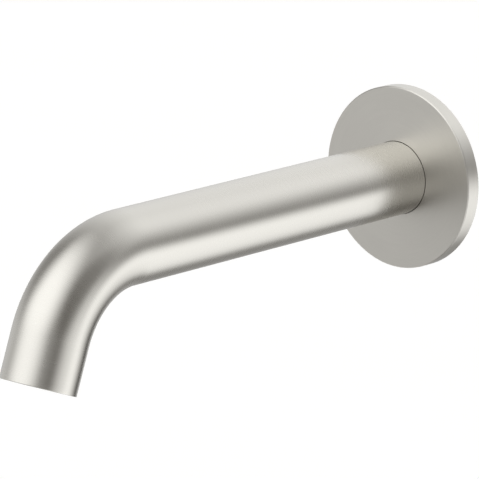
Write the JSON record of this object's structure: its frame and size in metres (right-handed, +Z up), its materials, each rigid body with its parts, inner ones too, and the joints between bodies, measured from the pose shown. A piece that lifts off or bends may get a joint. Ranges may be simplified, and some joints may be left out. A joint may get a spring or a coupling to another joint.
{
  "type": "wall mounted bath spout",
  "caption": "Round tube bath spout that reaches straight out of a round wall flange, bends down and pours through a recessed aerator; slips over a threaded wall nipple.",
  "frame": {"origin": "on the inlet axis, in the wall's face, where the back of the flange rests", "axes": "+Y into the wall along the inlet axis, -Y out into the room, +Z up, +X to the right of someone who faces the wall"},
  "size_m": [0.07, 0.2329, 0.0825],
  "materials": {
    "brushed_nickel": "satin nickel plating, brushed round the tube",
    "brushed_nickel_plate": "satin nickel plating, turned face",
    "turned_brass": "turned, unplated",
    "stainless_steel": "plain",
    "red_fibre": "pressed fibre",
    "seal_rubber": "moulded",
    "gasket_foam": "closed cell foam",
    "black_plastic": "moulded",
    "white_plastic": "moulded",
    "wire_mesh": "woven stainless wire"
  },
  "bodies": {
    "wall_fixing": {"connection_nipple": "turned_brass", "inlet_washer": "red_fibre", "nipple_o_ring_rear": "seal_rubber", "nipple_o_ring_front": "seal_rubber"},
    "spout": {"spout_tube": "brushed_nickel", "inlet_socket": "turned_brass", "outlet_insert": "brushed_nickel_plate"},
    "grub": {"grub_screw": "stainless_steel"},
    "flange": {"wall_flange": "brushed_nickel_plate", "flange_o_ring": "seal_rubber", "wall_gasket": "gasket_foam"},
    "aerator_seal": {"aerator_washer": "seal_rubber"},
    "aerator": {"aerator_housing": "black_plastic", "aerator_cartridge": "white_plastic", "aerator_honeycomb": "white_plastic", "aerator_mesh_lower": "wire_mesh", "aerator_mesh_upper": "wire_mesh", "aerator_jet_plate": "white_plastic", "aerator_filter": "white_plastic"}
  },
  "joints": [
    {"name": "spout_levelling", "type": "hinge", "parent": "wall_fixing", "child": "spout", "pos_m": [0, 0, 0], "axis": [0, 1, 0], "range_deg": [-10, 10]},
    {"name": "flange_slide", "type": "slide", "parent": "spout", "child": "flange", "axis": [0, -1, 0], "range_m": [0, 0.15]},
    {"name": "grub_screw_travel", "type": "slide", "parent": "spout", "child": "grub", "axis": [0, 0, -1], "range_m": [0, 0.003]},
    {"name": "aerator_advance", "type": "slide", "parent": "spout", "child": "aerator_seal", "axis": [0, -0.3584, -0.9336], "range_m": [0, 0.006]},
    {"name": "aerator_turn", "type": "hinge", "parent": "aerator_seal", "child": "aerator", "pos_m": [0, -0.19979, -0.04247], "axis": [0, -0.3584, -0.9336], "range_deg": [0, 2160]}
  ],
  "couplings": [
    {"joint": "aerator_advance", "follows": "aerator_turn", "m_per_rad": 0.00015915}
  ]
}
